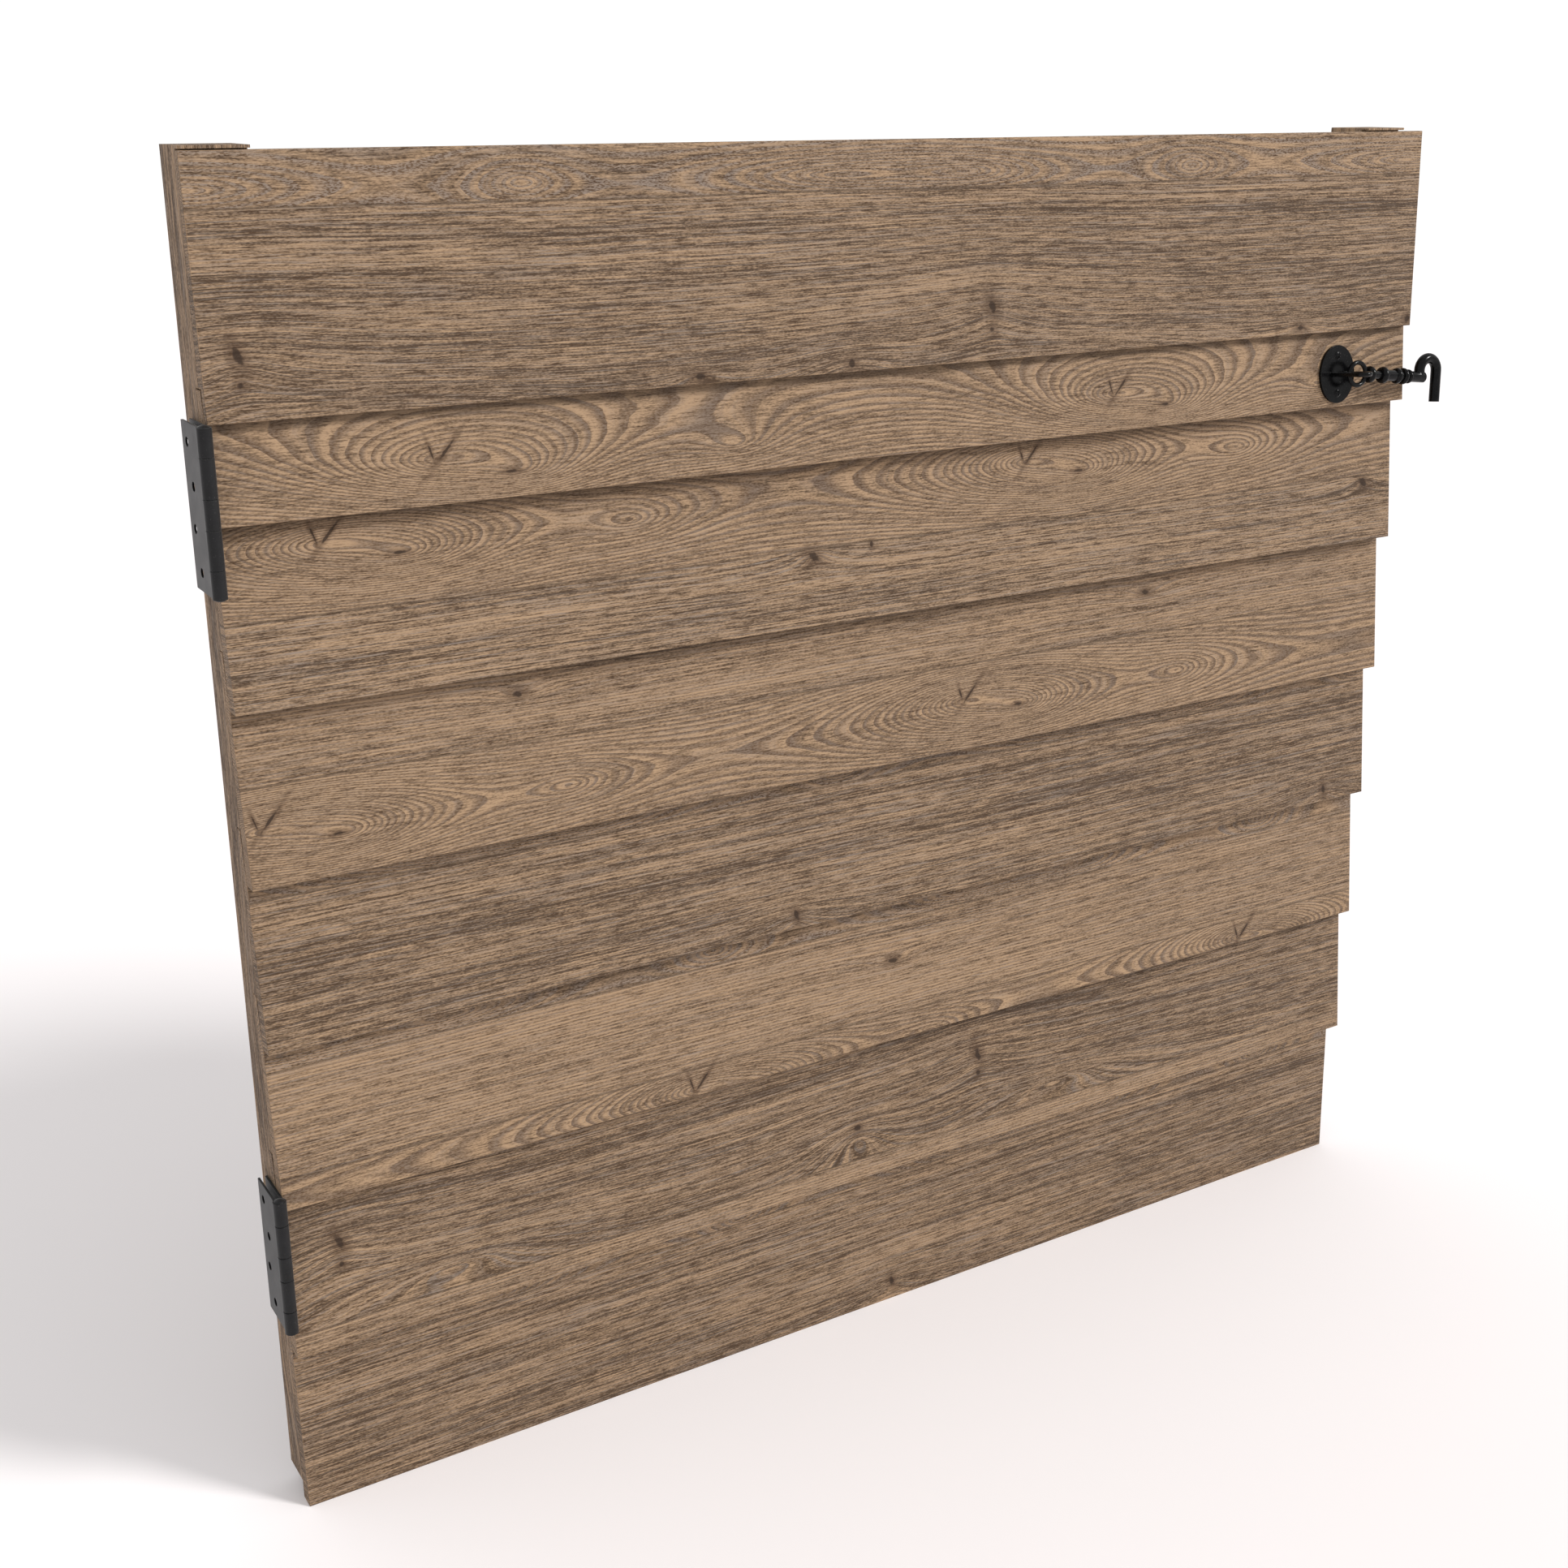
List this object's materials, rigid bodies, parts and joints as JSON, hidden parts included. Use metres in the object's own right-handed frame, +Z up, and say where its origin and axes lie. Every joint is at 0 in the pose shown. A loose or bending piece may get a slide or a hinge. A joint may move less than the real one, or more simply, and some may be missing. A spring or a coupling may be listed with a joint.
{
  "type": "garden gate",
  "caption": "Low wooden garden gate of lapped bevel boards on notched stiles, with side-fixed butt hinges and a cabin hook.",
  "frame": {"origin": "middle of the lower post leaf's outer face, where it lies against the gate post", "axes": "+X along the gate from the hinge side to the latch side, the lapped boards face -Y, +Z up"},
  "size_m": [0.9479, 0.0731, 0.8504],
  "materials": {
    "oak_board": "weathered oak, fine open grain, unvarnished",
    "oak_stile": "weathered oak, upright grain",
    "black_coat": "matt black powder coat on steel",
    "gloss_black": "gloss black lacquer on iron",
    "zinc_screw": "zinc plated steel"
  },
  "bodies": {
    "post_leaves": {"upper_post_leaf": "black_coat", "lower_post_leaf": "black_coat"},
    "gate": {"hinge_stile": "oak_stile", "latch_stile": "oak_stile", "top_board": "oak_board", "second_board": "oak_board", "lap_board_1": "oak_board", "lap_board_2": "oak_board", "lap_board_3": "oak_board", "lap_board_4": "oak_board", "lap_board_5": "oak_board", "bottom_board": "oak_board", "hinge_stile_screws": "zinc_screw", "latch_stile_screws": "zinc_screw", "upper_gate_leaf": "black_coat", "upper_hinge_pin": "black_coat", "upper_leaf_screws": "black_coat", "lower_gate_leaf": "black_coat", "lower_hinge_pin": "black_coat", "lower_leaf_screws": "black_coat", "hook_plate": "gloss_black", "hook_plate_screws": "gloss_black", "hook_staple": "gloss_black"},
    "hook": {"hook_arm": "gloss_black"}
  },
  "joints": [
    {"name": "gate_swing", "type": "hinge", "parent": "post_leaves", "child": "gate", "pos_m": [0.0031, -0.01715, -0.189], "axis": [0, 0, -1], "range_deg": [0, 180]},
    {"name": "hook_swing", "type": "hinge", "parent": "gate", "child": "hook", "pos_m": [0.8542, -0.02286, 0.48836], "axis": [0, -0.9937, 0.1122], "range_deg": [-84, 35]}
  ]
}
